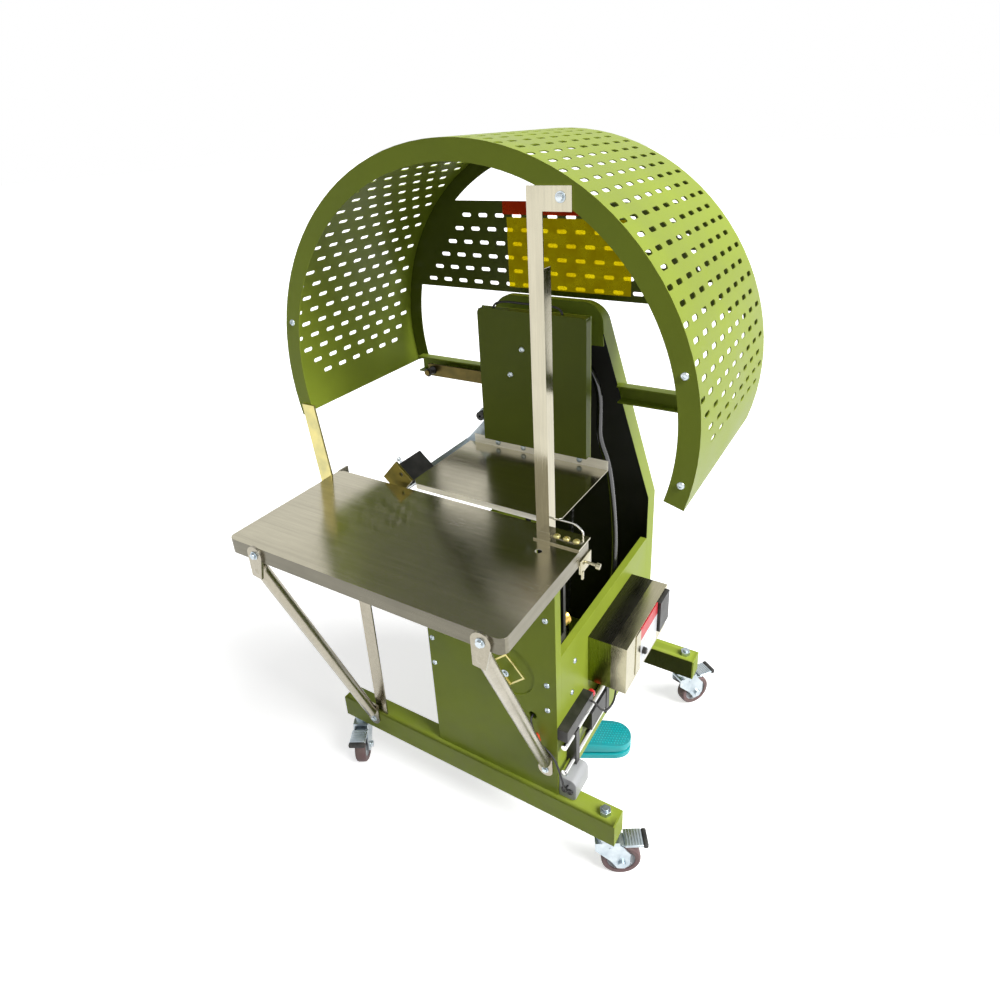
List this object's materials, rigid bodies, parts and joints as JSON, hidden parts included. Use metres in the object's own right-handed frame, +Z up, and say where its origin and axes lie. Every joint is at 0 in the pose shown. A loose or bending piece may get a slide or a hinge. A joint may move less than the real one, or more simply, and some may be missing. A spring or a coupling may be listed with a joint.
{
  "type": "rope tying machine",
  "caption": "Semi automatic package tying machine: two small steel tables, a rotary rope arm under a slotted round guard, a pedestal on casters and a foot switch.",
  "frame": {"origin": "centre of the bounding box's bottom, on the floor", "axes": "+Z up; -Y is the operator's side, with the front table; +X is to the right of the operator"},
  "size_m": [0.781, 0.8204, 1.3019],
  "materials": {
    "green_paint": "olive green powder coat, satin",
    "dark_green_paint": "dark green powder coat, satin",
    "stainless": "brushed stainless sheet",
    "zinc_steel": "bright zinc plate",
    "yellow_zinc": "yellow zinc plate",
    "polished_steel": "ground and polished rod",
    "black_plastic": "matt black",
    "dark_steel": "oiled dark steel",
    "grey_cast": "grey enamel on castings",
    "brass": "turned brass",
    "red_plastic": "glossy red",
    "grey_plastic": "light grey moulding",
    "turquoise": "turquoise, moulded grip texture",
    "dark_rubber": "black rubber",
    "wheel_rubber": "grey-red rubber tread on a plastic hub",
    "yellow_film": "plain coloured film"
  },
  "bodies": {
    "machine": {"feet": "green_paint", "caster_stems": "zinc_steel", "front_panel": "green_paint", "right_side_panel": "green_paint", "left_side_panel": "green_paint", "column_back": "green_paint", "column_plate": "green_paint", "base_pan": "green_paint", "centre_shaft": "zinc_steel", "head_cover": "dark_green_paint", "drive_chain": "dark_steel", "gearbox": "grey_cast", "motor": "grey_cast", "front_table": "stainless", "rear_table": "stainless", "table_supports": "stainless", "guard_sheet": "green_paint", "guard_front_rim": "green_paint", "guard_rear_panel": "green_paint", "guard_films": "yellow_film", "guard_crossbars": "green_paint", "guard_post": "stainless", "guard_side_strut": "yellow_zinc", "rope_guide_bar": "yellow_zinc", "knotter_frame": "zinc_steel", "control_box": "stainless", "guide_rods": "polished_steel", "rod_mounts": "black_plastic", "cable_junction": "grey_plastic", "panel_wires": "black_plastic", "conduit": "black_plastic", "foot_switch_base": "dark_rubber", "foot_switch_cord": "black_plastic", "fasteners": "zinc_steel"},
    "arm": {"rope_arm": "zinc_steel", "arm_tip": "yellow_zinc", "arm_guide_block": "black_plastic", "arm_sprocket": "dark_steel"},
    "arm_roller": {"arm_roller": "zinc_steel"},
    "drive": {"drive_sprocket": "dark_steel"},
    "knotter_cam": {"knotter_cam": "dark_steel"},
    "tying_hook": {"tying_hook": "zinc_steel"},
    "rope_roller": {"rope_roller": "brass"},
    "guide_bar_roller": {"guide_bar_roller": "black_plastic"},
    "control_knob": {"control_knob": "black_plastic"},
    "push_button": {"push_button": "red_plastic"},
    "tread": {"foot_tread": "turquoise"},
    "caster_front_right": {"caster_fork_front_right": "zinc_steel"},
    "wheel_front_right": {"caster_wheel_front_right": "wheel_rubber"},
    "brake_front_right": {"caster_brake_front_right": "zinc_steel"},
    "caster_front_left": {"caster_fork_front_left": "zinc_steel"},
    "wheel_front_left": {"caster_wheel_front_left": "wheel_rubber"},
    "brake_front_left": {"caster_brake_front_left": "zinc_steel"},
    "caster_rear_right": {"caster_fork_rear_right": "zinc_steel"},
    "wheel_rear_right": {"caster_wheel_rear_right": "wheel_rubber"},
    "brake_rear_right": {"caster_brake_rear_right": "zinc_steel"},
    "caster_rear_left": {"caster_fork_rear_left": "zinc_steel"},
    "wheel_rear_left": {"caster_wheel_rear_left": "wheel_rubber"},
    "brake_rear_left": {"caster_brake_rear_left": "zinc_steel"}
  },
  "joints": [
    {"name": "swivel_front_right", "type": "hinge", "parent": "machine", "child": "caster_front_right", "pos_m": [0.26254, -0.13621, 0.105], "axis": [0, 0, 1], "continuous": true},
    {"name": "roll_front_right", "type": "hinge", "parent": "caster_front_right", "child": "wheel_front_right", "pos_m": [0.28826, -0.12076, 0.0375], "axis": [-0.515, 0.8572, 0], "continuous": true},
    {"name": "press_brake_front_right", "type": "hinge", "parent": "caster_front_right", "child": "brake_front_right", "pos_m": [0.2694, -0.13209, 0.0795], "axis": [-0.515, 0.8572, 0], "range_deg": [0, 5]},
    {"name": "swivel_front_left", "type": "hinge", "parent": "machine", "child": "caster_front_left", "pos_m": [-0.33546, -0.13621, 0.105], "axis": [0, 0, 1], "continuous": true},
    {"name": "roll_front_left", "type": "hinge", "parent": "caster_front_left", "child": "wheel_front_left", "pos_m": [-0.32046, -0.16219, 0.0375], "axis": [0.866, 0.5, 0], "continuous": true},
    {"name": "press_brake_front_left", "type": "hinge", "parent": "caster_front_left", "child": "brake_front_left", "pos_m": [-0.33146, -0.14314, 0.0795], "axis": [0.866, 0.5, 0], "range_deg": [0, 5]},
    {"name": "swivel_rear_right", "type": "hinge", "parent": "machine", "child": "caster_rear_right", "pos_m": [0.26254, 0.33279, 0.105], "axis": [0, 0, 1], "continuous": true},
    {"name": "roll_rear_right", "type": "hinge", "parent": "caster_rear_right", "child": "wheel_rear_right", "pos_m": [0.27975, 0.35737, 0.0375], "axis": [-0.8192, 0.5736, 0], "continuous": true},
    {"name": "press_brake_rear_right", "type": "hinge", "parent": "caster_rear_right", "child": "brake_rear_right", "pos_m": [0.26713, 0.33935, 0.0795], "axis": [-0.8192, 0.5736, 0], "range_deg": [0, 5]},
    {"name": "swivel_rear_left", "type": "hinge", "parent": "machine", "child": "caster_rear_left", "pos_m": [-0.33546, 0.33279, 0.105], "axis": [0, 0, 1], "continuous": true},
    {"name": "roll_rear_left", "type": "hinge", "parent": "caster_rear_left", "child": "wheel_rear_left", "pos_m": [-0.35046, 0.35877, 0.0375], "axis": [-0.866, -0.5, 0], "continuous": true},
    {"name": "press_brake_rear_left", "type": "hinge", "parent": "caster_rear_left", "child": "brake_rear_left", "pos_m": [-0.33946, 0.33972, 0.0795], "axis": [-0.866, -0.5, 0], "range_deg": [0, 5]},
    {"name": "arm_spin", "type": "hinge", "parent": "machine", "child": "arm", "pos_m": [0.03354, 0.06779, 0.945], "axis": [0, 1, 0], "continuous": true},
    {"name": "drive_spin", "type": "hinge", "parent": "machine", "child": "drive", "pos_m": [0.03354, 0.09779, 0.3], "axis": [0, 1, 0], "continuous": true},
    {"name": "arm_roller_spin", "type": "hinge", "parent": "arm", "child": "arm_roller", "pos_m": [-0.09902, 0.07879, 0.79927], "axis": [0, 1, 0], "continuous": true},
    {"name": "knotter_spin", "type": "hinge", "parent": "machine", "child": "knotter_cam", "pos_m": [0.12554, -0.10521, 0.59], "axis": [0, 1, 0], "continuous": true},
    {"name": "hook_spin", "type": "hinge", "parent": "machine", "child": "tying_hook", "pos_m": [0.09554, -0.11921, 0.61], "axis": [0, 0, 1], "continuous": true},
    {"name": "rope_roller_spin", "type": "hinge", "parent": "machine", "child": "rope_roller", "pos_m": [0.14754, -0.08221, 0.51], "axis": [0, 1, 0], "continuous": true},
    {"name": "guide_roller_spin", "type": "hinge", "parent": "machine", "child": "guide_bar_roller", "pos_m": [-0.25346, 0.12879, 0.852], "axis": [0, 1, 0], "continuous": true},
    {"name": "knob_turn", "type": "hinge", "parent": "machine", "child": "control_knob", "pos_m": [0.24804, 0.06679, 0.372], "axis": [1, 0, 0], "range_deg": [0, 270]},
    {"name": "button_press", "type": "slide", "parent": "machine", "child": "push_button", "axis": [0, -1, 0], "range_m": [0, 0.003], "stiffness_N_per_m": 300, "springref_m": -0.002},
    {"name": "tread_press", "type": "hinge", "parent": "machine", "child": "tread", "pos_m": [0.07254, 0.0863, 0.023], "axis": [-0.4772, 0.8788, 0], "range_deg": [0, 3], "stiffness_Nm_per_rad": 3, "springref_deg": -14.32}
  ],
  "couplings": [
    {"joint": "drive_spin", "follows": "arm_spin", "ratio": 2},
    {"joint": "hook_spin", "follows": "knotter_spin", "ratio": 1}
  ]
}
